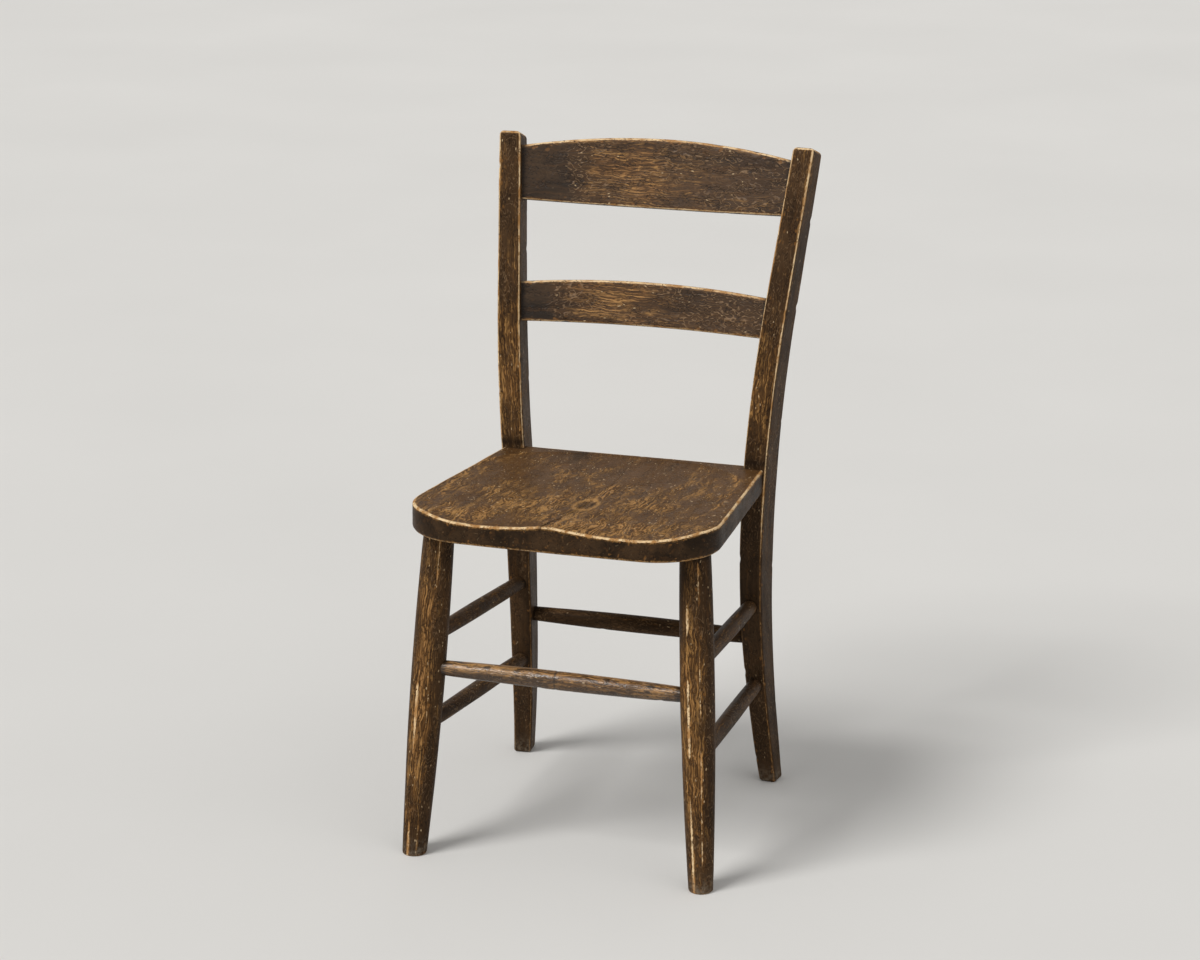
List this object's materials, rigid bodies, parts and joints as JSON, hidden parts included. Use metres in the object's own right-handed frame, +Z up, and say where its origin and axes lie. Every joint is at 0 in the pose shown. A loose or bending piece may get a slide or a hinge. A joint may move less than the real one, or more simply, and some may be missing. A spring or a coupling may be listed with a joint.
{
  "type": "peeling paint chair",
  "caption": "Worn wooden kitchen chair with a saddled plank seat, raked back posts, bowed back rails and turned stretchers; its dark paint is crackled and rubbed through at the edges.",
  "frame": {"origin": "on the floor, under the middle of the chair's bounding box", "axes": "+Z up, +Y to the back of the chair, +X to the sitter's left (the right-hand side seen from the front)"},
  "size_m": [0.4204, 0.4759, 0.837],
  "materials": {
    "dark_painted_wood": "satin",
    "worn_seat_wood": "satin",
    "worn_stretcher_wood": "satin",
    "peg_wood": "matte",
    "dull_steel": "matte"
  },
  "bodies": {
    "root": {"seat": "worn_seat_wood", "back_post_left": "dark_painted_wood", "back_post_right": "dark_painted_wood", "crest_rail": "dark_painted_wood", "mid_rail": "dark_painted_wood", "front_leg_left": "dark_painted_wood", "front_leg_right": "dark_painted_wood", "front_stretcher": "worn_stretcher_wood", "rear_stretcher": "dark_painted_wood", "side_stretcher_left_upper": "dark_painted_wood", "side_stretcher_left_lower": "dark_painted_wood", "side_stretcher_right_upper": "dark_painted_wood", "side_stretcher_right_lower": "dark_painted_wood", "crest_peg_left_upper": "peg_wood", "crest_peg_left_lower": "peg_wood", "crest_peg_right_upper": "peg_wood", "crest_peg_right_lower": "peg_wood", "mid_peg_left": "peg_wood", "mid_peg_right": "peg_wood", "seat_screw_left": "dull_steel", "seat_screw_right": "dull_steel"}
  },
  "joints": []
}
